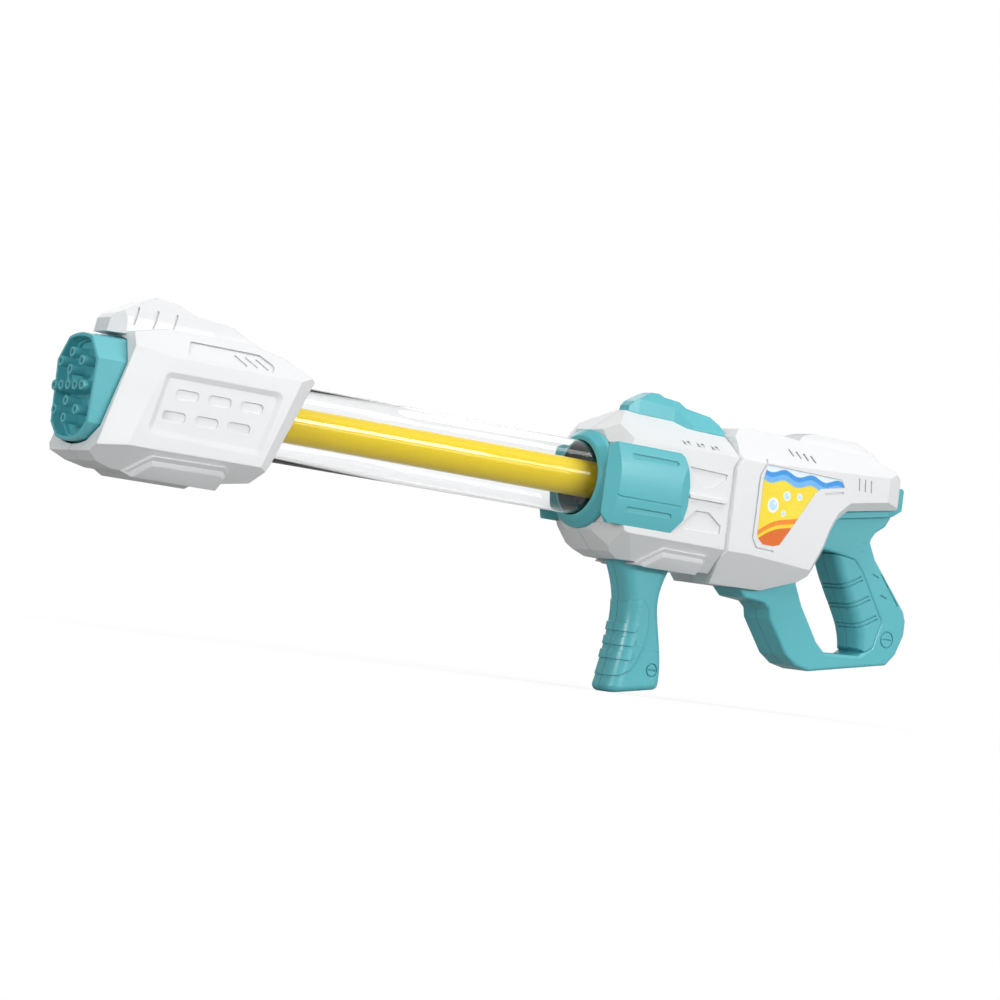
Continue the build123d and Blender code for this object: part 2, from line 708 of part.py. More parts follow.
with BuildPart() as rear_shell:
    add(rear_outer)
    add(prism(side(), spine, -10, 10))
    for outline in [label_outline, *label_grooves, *tail_grooves]:
        add(pocket(outline, rear_outer, rear_skin), mode=Mode.SUBTRACT)
    add(rear_inner, mode=Mode.SUBTRACT)
    add(rear_core.part)
    for n in range(4):
        x, z = 163.5 + 6.5 * n, 41.5 - 0.6 * n
        vent = strip([(x - 1, z + 2.3), (x + 1, z - 2.3)], 1.7)
        add(prism(side(), vent, -half_span, half_span), mode=Mode.SUBTRACT)
    add(rod_along_x(90, rod_rear + 0.2, rod_r + seat_gap), mode=Mode.SUBTRACT)
    pin_reach = anchor_half + 0.2
    add(rod_along_y(anchor_x, 0, anchor_r + seat_gap, -pin_reach, pin_reach), mode=Mode.SUBTRACT)
    for place in (front_tongue, tail_tongue):
        add(tongue(place, tongue_gap), mode=Mode.SUBTRACT)
    add(screw_holes(rear_screw_places, slim_seat), mode=Mode.SUBTRACT)
write_halves(rear_shell.part, "rear_shell")
write(screw_set(rear_screw_places, slim_seat), "rear_screws")

label = (prism(side(), label_outline, -half_span, half_span, 0.15) & label_top) - rear_skin
for hand, index in (("left", 0), ("right", -1)):
    write(label.solids().sort_by(Axis.Y)[index], f"label_{hand}")

# ---------------------------------------------------------------- D-handle
handle_wall = 2.4
handle_outline = [
    (142, -50), (142, -57), (149, -63), (167, -64.4), (172.5, -68.5), (174, -75), (192.5, -98.5),
    (203, -105), (216, -107.5), (289, -95.5), (297, -87), (303, -72), (303, -62), (300, -55), (266, -21),
    (259, -9), (263, -2.5), (272, 3.5), (277, 12), (270, 20), (222, 14), (205, 0), (190, -38),
]
hand_hole = [
    (194, -47), (204.5, -27), (212, -20), (226, -21), (246, -24), (254, -31), (279, -65), (273, -84),
    (262, -91.5), (229, -93), (220, -86), (202, -62),
]
pad_outline = [
    (228, -21.8), (239, -43), (250, -59), (258, -72), (262.5, -86), (267, -88), (273, -84), (279, -65),
    (254, -31), (246, -24),
]
pad_front_points = 5
pad_rounding = 7.0
flange_side = [
    (214, -1), (224, 3.5), (274, 11.4), (286, 17), (291.5, 25), (290, 30), (283, 33), (262, 28), (222, 16),
    (212, 8),
]
flange_top = both_sides([(212, 20), (268, 20), (286, 14), (292, 7)])
flange_front = [(-21, -10), (21, -10), (21, 60), (-21, 60)]
handle_grooves = [
    strip([(273, -31), (293, -52)], 1.0), strip([(265, -32), (271, -34)], 1.2),
    strip([(275, -46), (281, -48)], 1.2),
]
handle_screw_places = [(195, -80), (281, -49), (236, -8)]
handle_button = (286.3, -77.3)


def handle_form(inset=0.0):
    """The D: a closed loop cut from one outline, its edges rounded where a hand goes round them."""
    with BuildPart() as made:
        with BuildSketch(side(-(handle_half - inset))):
            with BuildLine():
                Polyline(*moved_in(handle_outline, inset), close=True)
            make_face()
            with BuildLine():
                Polyline(*moved_in(hand_hole, -inset), close=True)
            make_face(mode=Mode.SUBTRACT)
            if not inset:
                fillet(vertices(), radius=3)
        extrude(amount=2 * (handle_half - inset))
        if not inset:
            rims = made.faces().filter_by(Axis.Y).edges()
            clear_of_pad = [e for e in rims if not 226 < e.center().X - collar_x < 255]
            fillet(clear_of_pad, radius=2.0)
    return made.part


handle_outer = handle_form()
handle_inner = handle_form(handle_wall)
handle_skin = handle_form(0.7)
with BuildPart() as handle:
    add(handle_outer)
    add(handle_inner, mode=Mode.SUBTRACT)
    for x, z in handle_screw_places:
        add(rod_along_y(x, z, boss_r, -handle_half + 1, handle_half - 1))
    add(faceted(flange_side, flange_front, flange_top))
    add(rear_outer, mode=Mode.SUBTRACT)
    for place in (front_tongue, tail_tongue):
        add(tongue(place))
    for groove in handle_grooves:
        for y0, y1 in ((handle_half - 0.7, half_span), (-half_span, 0.7 - handle_half)):
            add(prism(side(), groove, y0, y1), mode=Mode.SUBTRACT)
    add(button(side(), *handle_button, 6.2) - handle_skin, mode=Mode.SUBTRACT)
    add(screw_holes(handle_screw_places, slim_seat), mode=Mode.SUBTRACT)
write_halves(handle.part, "handle")
write(screw_set(handle_screw_places, slim_seat), "handle_screws")


def pad_form(inset=0.0):
    """The finger pad in the D-handle's loop: its front is one smooth curve, rounded for the fingers."""
    corners = moved_in(pad_outline, inset)
    with BuildPart() as made:
        with BuildSketch(side(-(handle_half - inset))):
            with BuildLine():
                Spline(*corners[:pad_front_points])
                Polyline(*corners[pad_front_points - 1:], corners[0])
            make_face()
        extrude(amount=2 * (handle_half - inset))
        front = made.edges().filter_by(GeomType.BSPLINE)
        fillet(front, radius=pad_rounding - inset)
    return made.part


pad_outer = pad_form()
pad_skin = pad_form(0.9)
with BuildPart() as pad:
    add(pad_outer)
    add(handle_outer, mode=Mode.SUBTRACT)
    for step in range(3):
        for shift in (0.0, 3.0):
            x, z = 240 + 9.5 * step + shift * 0.6, -42 - 13 * step - shift * 0.8
            rib = prism(side(), strip([(x - 12, z - 6), (x + 14, z + 7)], 1.1), -half_span, half_span)
            add(rib - pad_skin, mode=Mode.SUBTRACT)
write_halves(pad.part, "grip_pad")

# ---------------------------------------------------------------- plunger
piston_pin_x = (piston_front + piston_rear) / 2
piston_pin_r = 1.5
piston_pin_half = 18.5
piston_pin_hole = rod_along_y(piston_pin_x, 0, piston_pin_r + seat_gap, -half_span, half_span)
with BuildPart() as rod:
    add(band(rod_front, rod_rear, rod_r, rod_r - rod_wall))
    add(rod_along_y(anchor_x, 0, anchor_r + seat_gap, -half_span, half_span), mode=Mode.SUBTRACT)
    add(piston_pin_hole, mode=Mode.SUBTRACT)
write(rod.part, "plunger_rod")
write(rod_along_y(anchor_x, 0, anchor_r, -anchor_half, anchor_half), "rod_pin")

piston_r = bore_r - running_gap
groove_r = piston_r - 3.2
groove_starts = [piston_front + 2.5, piston_rear - 2.5 - seal_width]
piston_body = turned([
    (piston_front, 0), (rod_front, 0), (rod_front, rod_r + 0.05), (piston_rear, rod_r + 0.05),
    (piston_rear, piston_r), (piston_front, piston_r),
])
with BuildPart() as piston:
    add(piston_body)
    for x in groove_starts:
        add(band(x, x + seal_width, piston_r + 5, groove_r), mode=Mode.SUBTRACT)
    add(piston_pin_hole, mode=Mode.SUBTRACT)
write(piston.part, "piston")
write(rod_along_y(piston_pin_x, 0, piston_pin_r, -piston_pin_half, piston_pin_half), "piston_pin")
seals = []
for x in groove_starts:
    seals.append(band(x + 0.05, x + seal_width - 0.05, bore_r - seal_clearance, groove_r + 0.02))
write(Compound(children=seals), "piston_seals")
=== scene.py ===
"""A hand-pumped toy blaster: moulded finishes, softened edges, a printed label, and its studio.

Metres, +Z up, the barrel along X with the nozzle towards -X.
"""
import json
import math

import bpy
import mathutils
import numpy as np
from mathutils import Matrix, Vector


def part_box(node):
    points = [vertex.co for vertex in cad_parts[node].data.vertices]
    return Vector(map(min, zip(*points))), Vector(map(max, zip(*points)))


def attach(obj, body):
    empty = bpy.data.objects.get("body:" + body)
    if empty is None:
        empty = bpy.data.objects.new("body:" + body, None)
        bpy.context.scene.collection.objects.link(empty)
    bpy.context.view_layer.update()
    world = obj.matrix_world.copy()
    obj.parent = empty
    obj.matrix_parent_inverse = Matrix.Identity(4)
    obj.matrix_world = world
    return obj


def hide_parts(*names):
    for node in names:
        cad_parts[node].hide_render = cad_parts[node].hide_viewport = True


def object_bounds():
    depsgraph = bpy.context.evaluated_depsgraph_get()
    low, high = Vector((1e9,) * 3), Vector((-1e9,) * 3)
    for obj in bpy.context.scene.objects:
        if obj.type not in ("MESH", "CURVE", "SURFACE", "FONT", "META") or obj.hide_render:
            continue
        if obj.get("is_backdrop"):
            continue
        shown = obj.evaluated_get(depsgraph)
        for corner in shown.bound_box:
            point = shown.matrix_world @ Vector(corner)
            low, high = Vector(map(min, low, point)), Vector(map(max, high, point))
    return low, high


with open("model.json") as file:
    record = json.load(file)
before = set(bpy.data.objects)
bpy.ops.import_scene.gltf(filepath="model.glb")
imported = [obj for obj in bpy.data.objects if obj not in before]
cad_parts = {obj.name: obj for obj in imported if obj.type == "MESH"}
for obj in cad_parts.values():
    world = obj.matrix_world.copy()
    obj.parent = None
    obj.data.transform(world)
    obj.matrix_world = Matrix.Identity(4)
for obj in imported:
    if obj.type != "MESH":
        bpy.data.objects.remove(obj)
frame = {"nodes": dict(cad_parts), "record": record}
nodes = frame["nodes"]
cad_low, cad_high = (list(corner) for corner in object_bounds())
mm = 0.001

# ---------------------------------------------------------------- places read from the frame
tube_low, tube_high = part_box("clear_barrel")
axis_z = (tube_low.z + tube_high.z) / 2
tube_r = (tube_high.z - tube_low.z) / 2
mouth_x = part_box("collar_ring")[0].x
label_low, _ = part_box("label_left")


# ---------------------------------------------------------------- material helpers
def value(tree, operation, first, second=0.5, third=0.5):
    """One Math node; the inputs are numbers or sockets."""
    node = tree.nodes.new("ShaderNodeMath")
    node.operation = operation
    for slot, given in enumerate((first, second, third)):
        if isinstance(given, bpy.types.NodeSocket):
            tree.links.new(given, node.inputs[slot])
        else:
            node.inputs[slot].default_value = given
    return node.outputs[0]


def place(tree):
    """The point on the object, in metres."""
    return tree.nodes.new("ShaderNodeTexCoord").outputs["Object"]


def split_place(tree):
    """The x, y and z of that point."""
    node = tree.nodes.new("ShaderNodeSeparateXYZ")
    tree.links.new(place(tree), node.inputs[0])
    return node.outputs


def distance(tree, across, up):
    """The length of a step with these two parts."""
    squares = [value(tree, "POWER", part, 2.0) for part in (across, up)]
    return value(tree, "SQRT", value(tree, "ADD", *squares))


def noise(tree, scale, detail=2.0, roughness=0.5, stretch=None):
    """Noise with this many cells to the metre, stretched along the axes if asked."""
    node = tree.nodes.new("ShaderNodeTexNoise")
    node.inputs["Scale"].default_value = scale
    node.inputs["Detail"].default_value = detail
    node.inputs["Roughness"].default_value = roughness
    source = place(tree)
    if stretch:
        mapping = tree.nodes.new("ShaderNodeMapping")
        mapping.inputs["Scale"].default_value = stretch
        tree.links.new(source, mapping.inputs["Vector"])
        source = mapping.outputs[0]
    tree.links.new(source, node.inputs["Vector"])
    return node.outputs["Fac"]


def ranged(tree, source, low, high, from_low=0.3, from_high=0.7):
    """The source moved from one range, by default the middle of a noise, into another, held at its ends."""
    node = tree.nodes.new("ShaderNodeMapRange")
    tree.links.new(source, node.inputs["Value"])
    node.inputs["From Min"].default_value = from_low
    node.inputs["From Max"].default_value = from_high
    node.inputs["To Min"].default_value = low
    node.inputs["To Max"].default_value = high
    return node.outputs[0]


def blended(tree, share, first, second):
    """Two colours mixed by a share from 0 to 1."""
    node = tree.nodes.new("ShaderNodeMix")
    node.data_type = "RGBA"
    tree.links.new(share, node.inputs[0])
    for slot, given in ((6, first), (7, second)):
        if isinstance(given, bpy.types.NodeSocket):
            tree.links.new(given, node.inputs[slot])
        else:
            node.inputs[slot].default_value = (*given, 1.0)
    return node.outputs[2]


def mixed_surface(tree, share, first, second):
    """The material's surface: two shaders mixed by a share from 0 to 1."""
    mix = tree.nodes.new("ShaderNodeMixShader")
    for slot, given in enumerate((share, first, second)):
        tree.links.new(given, mix.inputs[slot])
    tree.links.new(mix.outputs[0], tree.nodes["Material Output"].inputs["Surface"])


def new_material(name):
    """An empty node material, its node tree and its shader."""
    made = bpy.data.materials.new(name)
    made.use_nodes = True
    return made, made.node_tree, made.node_tree.nodes["Principled BSDF"]


def relief(tree, shader, height, edge=0.0):
    """A height, in metres, in a shader's normal, over edges rounded by a radius."""
    bump = tree.nodes.new("ShaderNodeBump")
    if edge:
        rounding = tree.nodes.new("ShaderNodeBevel")
        rounding.samples = 6
        rounding.inputs["Radius"].default_value = edge
        tree.links.new(rounding.outputs[0], bump.inputs["Normal"])
    bump.inputs["Distance"].default_value = 1.0
    bump.inputs["Strength"].default_value = 1.0
    tree.links.new(height, bump.inputs["Height"])
    tree.links.new(bump.outputs[0], shader.inputs["Normal"])


# ---------------------------------------------------------------- moulded plastics
moulded_edge = 0.9 * mm  # the round on their edges
seam_near = 0.08 * mm  # the parting line is full this far from the middle plane
seam_far = 0.22 * mm  # and gone here
seam_depth = 0.15 * mm
# painted shade in the barrel's bore: a near-black colour that stands for the shade there, faded in over a
# width
bore_shade_fade = 0.5 * mm
bore_painted_shade = (0.004, 0.022, 0.025)


def parting_line(tree):
    """1 on the line where the left and right shells meet, 0 away from it."""
    off_middle = value(tree, "ABSOLUTE", split_place(tree)[1])
    return ranged(tree, off_middle, 1.0, 0.0, seam_near, seam_far)


def within_bore_shade(tree, radius):
    """1 nearer to the barrel's axis than a radius, 0 outside it: where the bore's painted shade goes."""
    _, y, z = split_place(tree)
    off_axis = distance(tree, y, value(tree, "SUBTRACT", z, axis_z))
    return ranged(tree, off_axis, 1.0, 0.0, radius, radius + bore_shade_fade)


def moulded(
    name, colour, roughness, grain=1400.0, grain_depth=0.004 * mm, coat=0.0, drift=0.03, specular=0.5,
    halves=False, bore=0.0,
):
    """Moulded plastic: a fine spark-eroded skin, slow flow marks in the gloss and a faint drift of colour.

    On the shells that meet on the middle plane, the line where they meet is a fine groove; its darker
    colour is painted shade in the crease. Inside a bore round the barrel's axis the colour is darkened as
    painted shade.
    """
    made, tree, shader = new_material(name)
    slow = noise(tree, 14.0, 3.0)
    flow = noise(tree, 45.0, 4.0, stretch=(0.25, 1.0, 1.0))
    skin = noise(tree, grain, 2.0, 0.6)
    darker = tuple(c * (1 - drift) for c in colour)
    lighter = tuple(min(1.0, c * (1 + drift)) for c in colour)
    shown = blended(tree, ranged(tree, slow, 0, 1), darker, lighter)
    height = value(tree, "MULTIPLY", skin, grain_depth)
    if halves:
        line = parting_line(tree)
        height = value(tree, "MULTIPLY_ADD", line, -seam_depth, height)
        # painted shade: the groove's colour is darkened to stand for the shade in the crease, over the real
        # dip in the bump
        groove = tuple(c * 0.3 for c in colour)
        shown = blended(tree, value(tree, "MULTIPLY", line, 0.5), shown, groove)
    # painted shade: inside the bore the colour goes to near black, standing for the shade there
    if bore:
        shown = blended(tree, within_bore_shade(tree, bore), shown, bore_painted_shade)
    tree.links.new(shown, shader.inputs["Base Color"])
    swing = 0.12 * roughness
    gloss = value(tree, "ADD", ranged(tree, flow, -swing, swing), roughness)
    tree.links.new(gloss, shader.inputs["Roughness"])
    relief(tree, shader, height, moulded_edge)
    shader.inputs["IOR"].default_value = 1.5
    shader.inputs["Specular IOR Level"].default_value = specular
    shader.inputs["Coat Weight"].default_value = coat
    shader.inputs["Coat Roughness"].default_value = 0.12
    return made


white_skin = {"colour": (0.80, 0.81, 0.82), "roughness": 0.34, "drift": 0.012}
teal_skin = {"colour": (0.115, 0.50, 0.555), "roughness": 0.30}
soft_skin = {"roughness": 0.42, "grain": 900.0, "grain_depth": 0.012 * mm}
rubber_skin = {"roughness": 0.55, "grain": 700.0, "grain_depth": 0.015 * mm, "drift": 0.2}
white = moulded("white_plastic", **white_skin)
white_halves = moulded("white_shells", **white_skin, halves=True)
# the fore shells and the collar below carry painted shade in the bore round the barrel
white_bore_shaded = moulded("white_fore_shells", **white_skin, halves=True, bore=tube_r + 1.5 * mm)
teal = moulded("teal_plastic", **teal_skin, coat=0.15)
teal_halves = moulded("teal_shells", **teal_skin, coat=0.15, halves=True)
teal_collar = moulded("teal_collar", **teal_skin, specular=0.3, bore=tube_r + 0.3 * mm)
teal_soft = moulded("teal_soft", (0.11, 0.485, 0.54), **soft_skin, halves=True)
yellow = moulded("yellow_plastic", (0.97, 0.70, 0.006), 0.15, drift=0.02, specular=0.12)
pale = moulded("grey_plastic", (0.62, 0.64, 0.66), 0.42)
# painted shade: this near-black teal is the colour of the shaded inside of the collar, given to the parts
# in this slot
dark = moulded("dark_plastic", (0.012, 0.055, 0.06), 0.4)
black = moulded("rubber", (0.022, 0.022, 0.024), **rubber_skin)


# ---------------------------------------------------------------- the other materials
def clear_plastic():
    """Clear moulded plastic: lets light through to what it holds, with faint ripples in its skin."""
    made, tree, shader = new_material("clear_plastic")
    shader.inputs["Base Color"].default_value = (0.985, 0.99, 0.995, 1.0)
    shader.inputs["Transmission Weight"].default_value = 1.0
    shader.inputs["IOR"].default_value = 1.36
    cloud = noise(tree, 35.0, 2.0, stretch=(0.15, 1.0, 1.0))
    tree.links.new(ranged(tree, cloud, 0.0, 0.012), shader.inputs["Roughness"])
    rays = tree.nodes.new("ShaderNodeLightPath")
    passing = tree.nodes.new("ShaderNodeBsdfTransparent")
    passing.inputs[0].default_value = (0.985, 0.988, 0.99, 1.0)
    either = value(tree, "MAXIMUM", rays.outputs["Is Shadow Ray"], rays.outputs["Is Diffuse Ray"])
    mixed_surface(tree, either, shader.outputs[0], passing.outputs[0])
    depth = tree.nodes.new("ShaderNodeVolumeAbsorption")
    depth.inputs["Color"].default_value = (0.0, 0.0, 0.0, 1.0)
    depth.inputs["Density"].default_value = 12.0  # to the metre: the long way through the wall is greyer
    tree.links.new(depth.outputs[0], tree.nodes["Material Output"].inputs["Volume"])
    return made


def plated_steel():
    """Zinc-plated steel with fine turning marks."""
    made, tree, shader = new_material("steel")
    marks = noise(tree, 2600.0, 3.0)
    plating = blended(tree, marks, (0.50, 0.50, 0.51), (0.66, 0.66, 0.68))
    tree.links.new(plating, shader.inputs["Base Color"])
    shader.inputs["Metallic"].default_value = 1.0
    tree.links.new(ranged(tree, marks, 0.22, 0.42), shader.inputs["Roughness"])
    relief(tree, shader, value(tree, "MULTIPLY", marks, 0.01 * mm), 0.2 * mm)
    return made


def inside(tree, source, edge):
    """1 where the source is above the edge, with the soft step of printed ink."""
    ink_edge = 0.2 * mm
    return ranged(tree, source, 0.0, 1.0, edge - ink_edge, edge + ink_edge)


def wave(tree, source, pitch):
    """The sine of a length, one turn to the pitch."""
    return value(tree, "SINE", value(tree, "MULTIPLY", source, 2 * math.pi / pitch))


def disc(tree, along, up, centre, radius):
    """1 within a radius of a centre on the label, 0 outside it."""
    off_x = value(tree, "SUBTRACT", along, centre[0])
    off_z = value(tree, "SUBTRACT", up, centre[1])
    return value(tree, "SUBTRACT", 1.0, inside(tree, distance(tree, off_x, off_z), radius))


def printed_label():
    """A printed label: a yellow ground, orange bands that swing up from the lower edge, blue swells along
    the top, and plain round bubbles between them.

    Its x and z start at the label's lower front corner. A swell's edge is where z + 1.6 sin(2 pi x / 26)
    passes a height, and a band's where 0.42 x + 2.2 sin(2 pi x / 55) - z passes a depth, in millimetres.
    """
    made, tree, shader = new_material("label_print")
    x, _, z = split_place(tree)
    along = value(tree, "SUBTRACT", x, label_low.x)
    up = value(tree, "SUBTRACT", z, label_low.z)
    sunny = (0.96, 0.72, 0.025)
    colour = blended(tree, ranged(tree, noise(tree, 26.0), 0, 1), sunny, (0.97, 0.80, 0.06))

    crest = value(tree, "MULTIPLY_ADD", wave(tree, along, 26 * mm), 1.6 * mm, up)
    swells = ((44.5, (0.17, 0.50, 0.92)), (48.5, (0.05, 0.33, 0.80)), (52.0, (0.80, 0.92, 0.98)))
    for edge, tint in swells:
        colour = blended(tree, inside(tree, crest, edge * mm), colour, tint)

    bend = value(tree, "MULTIPLY", wave(tree, along, 55 * mm), 2.2 * mm)
    depth = value(tree, "SUBTRACT", value(tree, "MULTIPLY_ADD", along, 0.42, bend), up)
    bands = ((-8.5, (0.94, 0.28, 0.02)), (-5.0, sunny), (-2.5, (0.78, 0.16, 0.015)))
    for edge, tint in bands:
        colour = blended(tree, inside(tree, depth, edge * mm), colour, tint)

    # each bubble's centre and radius; then, as shares of the radius, the place and size of its rounds
    bubbles = ((12.0, 28.0, 5.2), (24.0, 36.0, 3.4), (22.5, 23.5, 2.2), (36.0, 37.0, 2.6))
    rim = (0.0, 0.0, 1.0, (0.97, 0.97, 0.93))
    core = (0.0, 0.0, 0.72, (0.55, 0.80, 0.96))
    glint = (0.25, 0.3, 0.2, (0.98, 0.98, 0.98))
    for cx, cz, radius in bubbles:
        for off_x, off_z, share, tint in (rim, core, glint):
            centre = ((cx + radius * off_x) * mm, (cz + radius * off_z) * mm)
            colour = blended(tree, disc(tree, along, up, centre, radius * share * mm), colour, tint)

    tree.links.new(colour, shader.inputs["Base Color"])
    tree.links.new(ranged(tree, noise(tree, 80.0), 0.24, 0.34), shader.inputs["Roughness"])
    relief(tree, shader, value(tree, "MULTIPLY", noise(tree, 500.0, 2.0), 0.004 * mm))
    return made


finishes = {
    "white_plastic": white,
    "teal_plastic": teal,
    "teal_soft": teal_soft,
    "yellow_plastic": yellow,
    "grey_plastic": pale,
    "dark_plastic": dark,
    "rubber": black,
    "clear_plastic": clear_plastic(),
    "steel": plated_steel(),
    "label_print": printed_label(),
}
paired = {"white_plastic": white_halves, "teal_plastic": teal_halves}
slot_of = {part["node"]: part["material_slot"] for part in frame["record"]["subparts"]}
body_of = {n: body for body, names in frame["record"]["behaviour"]["bodies"].items() for n in names}


def finish_of(name):
    """The material of a piece: shells made in halves show their parting line.

    The collar and the fore shells carry painted shade in the barrel's bore.
    """
    if name == "collar_ring":
        return teal_collar
    if name.startswith("fore_shell"):
        return white_bore_shaded
    if name.endswith(("_left", "_right")) and not name.startswith(("drum", "label")):
        return paired.get(slot_of[name], finishes[slot_of[name]])
    return finishes[slot_of[name]]


for name, obj in nodes.items():
    obj.data.materials.clear()
    obj.data.materials.append(finish_of(name))


# ---------------------------------------------------------------- pieces made here
def ringed(name, rings, finish, body, loop=False):
    """A piece from rings of points, each joined to the next. The last joins the first, or both ends close.

    Its faces point outwards where the rings' step crossed with the step round a ring does.
    """
    count, around = rings.shape[:2]
    i, k = np.meshgrid(np.arange(count if loop else count - 1), np.arange(around), indexing="ij")
    ahead, beside = (i + 1) % count, (k + 1) % around
    corners = [i * around + k, ahead * around + k, ahead * around + beside, i * around + beside]
    faces = np.stack(corners, -1).reshape(-1, 4).tolist()
    if not loop:
        last = (count - 1) * around
        faces += [list(range(around)), [last + n for n in reversed(range(around))]]
    mesh = bpy.data.meshes.new(name)
    mesh.from_pydata(rings.reshape(-1, 3).tolist(), [], faces)
    mesh.shade_smooth()
    mesh.set_sharp_from_angle(angle=math.radians(40))
    obj = bpy.data.objects.new(name, mesh)
    bpy.context.scene.collection.objects.link(obj)
    obj.data.materials.append(finish)
    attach(obj, body)
    return obj


def lathe(name, replaced, profile, steps=192):
    """A turned piece round the barrel's axis, from a closed run of (x, r) points, counterclockwise.

    With u along the profile and a = 2 pi k / steps: X = x(u), Y = r(u) cos a, Z = axis + r(u) sin a.
    """
    run = np.array(profile, float)
    turn = np.linspace(0, 2 * np.pi, steps, endpoint=False)
    x = np.repeat(run[:, 0][:, None], steps, 1)
    y = run[:, 1][:, None] * np.cos(turn)
    z = axis_z + run[:, 1][:, None] * np.sin(turn)
    slot = slot_of[replaced]
    obj = ringed(name, np.stack([x, y, z], -1), finishes[slot], body_of[replaced], loop=True)
    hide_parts(replaced)


def lipped(x0, x1, inner, outer, lip):
    """The closed (x, r) run of a tube whose four rims are rounded by the lip's radius.

    Each rim is a quarter turn: x = cx + lip cos a, r = cr + lip sin a.
    """
    quarter = np.linspace(0, np.pi / 2, 6)
    corners = [
        (x1 - lip, outer - lip, 0.0), (x0 + lip, outer - lip, 0.5 * np.pi),
        (x0 + lip, inner + lip, np.pi), (x1 - lip, inner + lip, 1.5 * np.pi),
    ]
    run = []
    for cx, cr, start in corners:
        run += [(cx + lip * math.cos(start + q), cr + lip * math.sin(start + q)) for q in quarter]
    return run


slots_deep = 1.85 * mm  # their floors, inside the head's widest faces
slots_long = 72 * mm
slots_high = 25 * mm
slots_middle = 75 * mm  # behind the head's front
slots_drop = 3.5 * mm  # below the barrel's axis
plate_rings = ((0.985, 0.0), (1.0, 0.2), (1.0, 0.8), (0.985, 1.0))  # share of the outline, depth in mm


def slot_floor(name, node, hand):
    """The closed bottom of a head panel's slots: a thin plate let into the inside of the shell's wall.

    With a = 2 pi k / 64, its outline is the superellipse x = cx + a0 c^(1/4), z = cz + b0 s^(1/4), where c
    and s are cos a and sin a with their signs kept. Its rings step through the plate's thickness, its rims
    rounded.
    """
    low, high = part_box(node)
    outside = high.y if hand > 0 else -low.y
    turn = np.linspace(0, 2 * np.pi, 64, endpoint=False)
    cos, sin = np.cos(turn), hand * -np.sin(turn)
    x = np.sign(cos) * np.abs(cos) ** 0.25 * slots_long / 2
    z = np.sign(sin) * np.abs(sin) ** 0.25 * slots_high / 2
    rings = []
    for share, depth in plate_rings:
        y = np.full_like(x, hand * (outside - slots_deep - depth * mm))
        rings.append(np.stack([low.x + slots_middle + share * x, y, axis_z - slots_drop + share * z], -1))
    ringed(name, np.stack(rings), white, body_of[node])


# The blocks under the head and under the fore body, in millimetres from the collar's mouth and the barrel's
# axis: the (y, z) of the facet's upper and lower edge, then the (x, z) of the raised face and of the foot
head_facet = ((35.0, -30.5), (15.0, -48.0))
head_face = [(-337, -46.3), (-280, -46.3), (-280, -39.5), (-283, -37.6), (-329, -38.0)]
head_foot = [(-344, -46.3), (-276.5, -46.3), (-276.5, -37.5), (-281, -34.4), (-331, -34.8)]
fore_facet = ((38.0, -33.0), (20.0, -51.5))
fore_face = [(50, -50.8), (95, -50.8), (95, -44.6), (92.5, -42.6), (59, -42.2)]
fore_foot = [(43, -50.8), (98.5, -50.8), (98.5, -42.4), (95, -39.2), (56.5, -38.8)]
chin_proud = 4.0
chin_rooted = -1.0


def chin_block(name, node, hand, facet, face, foot):
    """A bevelled block raised on the facet under a shell's cheek.

    The facet runs from (y0, z0) down to (y1, z1), with the outward normal (ny, nz). A point (x, z) of an
    outline, raised by h, lies at Y = hand (y0 + (z - z0) (y1 - y0) / (z1 - z0) + h ny) and Z = z + h nz.
    """
    (y0, z0), (y1, z1) = facet
    run = math.hypot(y1 - y0, z1 - z0)
    ny, nz = (z0 - z1) / run, (y1 - y0) / run
    rings = []
    for outline, h in ((face, chin_proud), (foot, 0.0), (foot, chin_rooted)):
        x, z = np.array(outline[::-hand], float).T
        y = y0 + (z - z0) * (y1 - y0) / (z1 - z0) + h * ny
        rings.append(np.stack([mouth_x + x * mm, hand * y * mm, axis_z + (z + h * nz) * mm], -1))
    block = ringed(name, np.stack(rings), white, body_of[node])
    edges = block.modifiers.new("edges", "BEVEL")
    edges.width = 0.8 * mm
    edges.segments = 3


tube_wall = 2.0 * mm
tube_rim = 0.6 * mm
tube_run = lipped(tube_low.x, tube_high.x, tube_r - tube_wall, tube_r, tube_rim)
lathe("clear_tube", "clear_barrel", tube_run)
slot_floor("slot_floor_left", "head_left", -1)
slot_floor("slot_floor_right", "head_right", 1)
for hand, side in ((-1, "left"), (1, "right")):
    chin_block(f"head_chin_{side}", f"head_{side}", hand, head_facet, head_face, head_foot)
    chin_block(f"fore_chin_{side}", f"fore_shell_{side}", hand, fore_facet, fore_face, fore_foot)


# ---------------------------------------------------------------- studio
def seen_share(tree):
    """1 for what the camera sees, straight or through clear plastic, and 0 for light that bounces."""
    rays = tree.nodes.new("ShaderNodeLightPath")
    return value(tree, "MAXIMUM", rays.outputs["Is Camera Ray"], rays.outputs["Is Transmission Ray"])


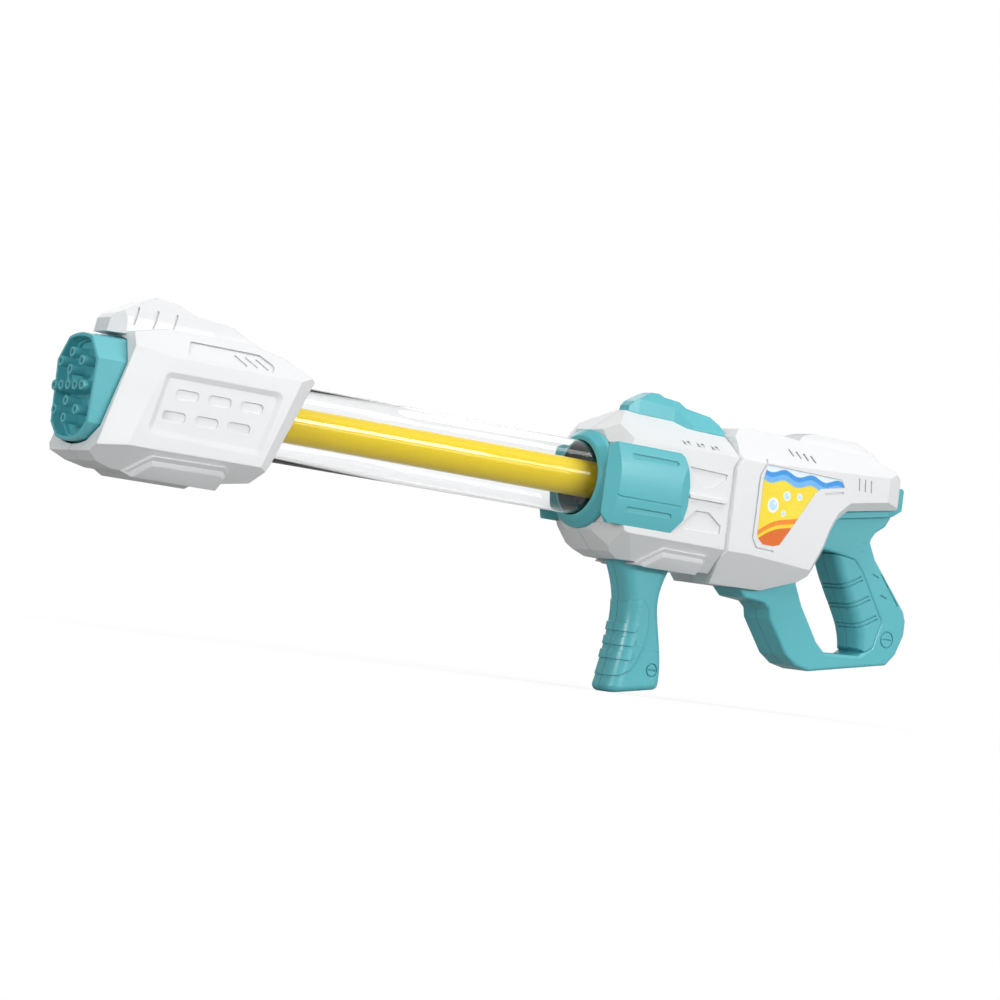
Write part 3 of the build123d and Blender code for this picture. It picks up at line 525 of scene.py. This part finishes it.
def white_floor():
    """A floor just under the toy: white to the camera but for the toy's shadow, dimmer in its bounce."""
    half = 6.0
    gap = 0.2 * mm
    bounce = (0.36, 0.36, 0.36)
    low = cad_low[2] - gap
    floor_mesh = bpy.data.meshes.new("floor")
    corners = [(-half, -half, low), (half, -half, low), (half, half, low), (-half, half, low)]
    floor_mesh.from_pydata(corners, [], [(0, 1, 2, 3)])
    floor = bpy.data.objects.new("floor", floor_mesh)
    bpy.context.scene.collection.objects.link(floor)
    made, tree, shader = new_material("floor")
    shader.inputs["Roughness"].default_value = 0.9
    shader.inputs["Specular IOR Level"].default_value = 0.1
    seen = seen_share(tree)
    tree.links.new(blended(tree, seen, bounce, (1.0, 1.0, 1.0)), shader.inputs["Base Color"])
    glow = tree.nodes.new("ShaderNodeEmission")
    glow.inputs[0].default_value = (1, 1, 1, 1)
    # the floor glows less near the toy, so that the shadow shows there
    x, y, _ = split_place(tree)
    glowing = ranged(tree, distance(tree, x, y), 0.85, 1.0, 0.15, 0.5)
    mixed_surface(tree, value(tree, "MULTIPLY", seen, glowing), shader.outputs[0], glow.outputs[0])
    floor_mesh.materials.append(made)
    floor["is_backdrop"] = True


def surround():
    """A surround that is white to the camera and lights the toy softly, most of all from above."""
    world = bpy.data.worlds.new("surround")
    bpy.context.scene.world = world
    world.use_nodes = True
    tree = world.node_tree
    back = tree.nodes["Background"]
    direction = tree.nodes.new("ShaderNodeSeparateXYZ")
    tree.links.new(tree.nodes.new("ShaderNodeTexCoord").outputs["Generated"], direction.inputs[0])
    light = ranged(tree, direction.outputs[2], 0.09, 0.5, -0.5, 0.9)
    seen = seen_share(tree)
    unseen = value(tree, "SUBTRACT", 1.0, seen)
    tree.links.new(value(tree, "MULTIPLY_ADD", light, unseen, seen), back.inputs["Strength"])
    back.inputs["Color"].default_value = (1, 1, 1, 1)


def lamp(name, at, size, power):
    """A soft rectangular lamp aimed at the toy's middle, its size in metres and its power in watts."""
    data = bpy.data.lights.new(name, "AREA")
    data.shape = "RECTANGLE"
    data.size, data.size_y = size
    data.energy = power
    obj = bpy.data.objects.new(name, data)
    obj.location = at
    toward = mathutils.Vector((-0.05, 0.0, axis_z)) - mathutils.Vector(at)
    obj.rotation_euler = toward.to_track_quat("-Z", "Y").to_euler()
    bpy.context.scene.collection.objects.link(obj)


def camera():
    """The camera on the toy's left, ahead of its nozzle, low down.

    It looks slightly up, and is turned a little about its own line of sight.
    """
    data = bpy.data.cameras.new("camera")
    data.lens = 97.2
    data.sensor_width = 36.0
    data.clip_end = 50.0
    obj = bpy.data.objects.new("camera", data)
    forward = mathutils.Vector((0.5679, 0.8212, 0.0552)).normalized()
    right = mathutils.Vector((0.8110, -0.5698, 0.1326))
    right = (right - forward * right.dot(forward)).normalized()
    up = right.cross(forward)
    turn = mathutils.Matrix((right, up, -forward)).transposed()
    eye = mathutils.Vector((mouth_x - 1.06705, -1.4598, axis_z - 0.1219))
    obj.matrix_world = mathutils.Matrix.Translation(eye) @ turn.to_4x4()
    bpy.context.scene.collection.objects.link(obj)
    bpy.context.scene.camera = obj


white_floor()
surround()
lamp("top_lamp", (0.1, -0.5, 1.6), (1.3, 0.4), 9.8)
lamp("front_lamp", (0.5, -1.9, 0.6), (1.4, 0.3), 19.0)
lamp("nose_lamp", (-1.9, -0.7, 0.45), (0.8, 0.4), 10.0)
lamp("side_lamp", (1.5, -1.1, 0.6), (0.9, 0.9), 2.0)
lamp("back_lamp", (0.2, 1.7, 0.9), (1.4, 0.8), 5.0)
camera()
scene = bpy.context.scene
scene.view_settings.view_transform = "Standard"
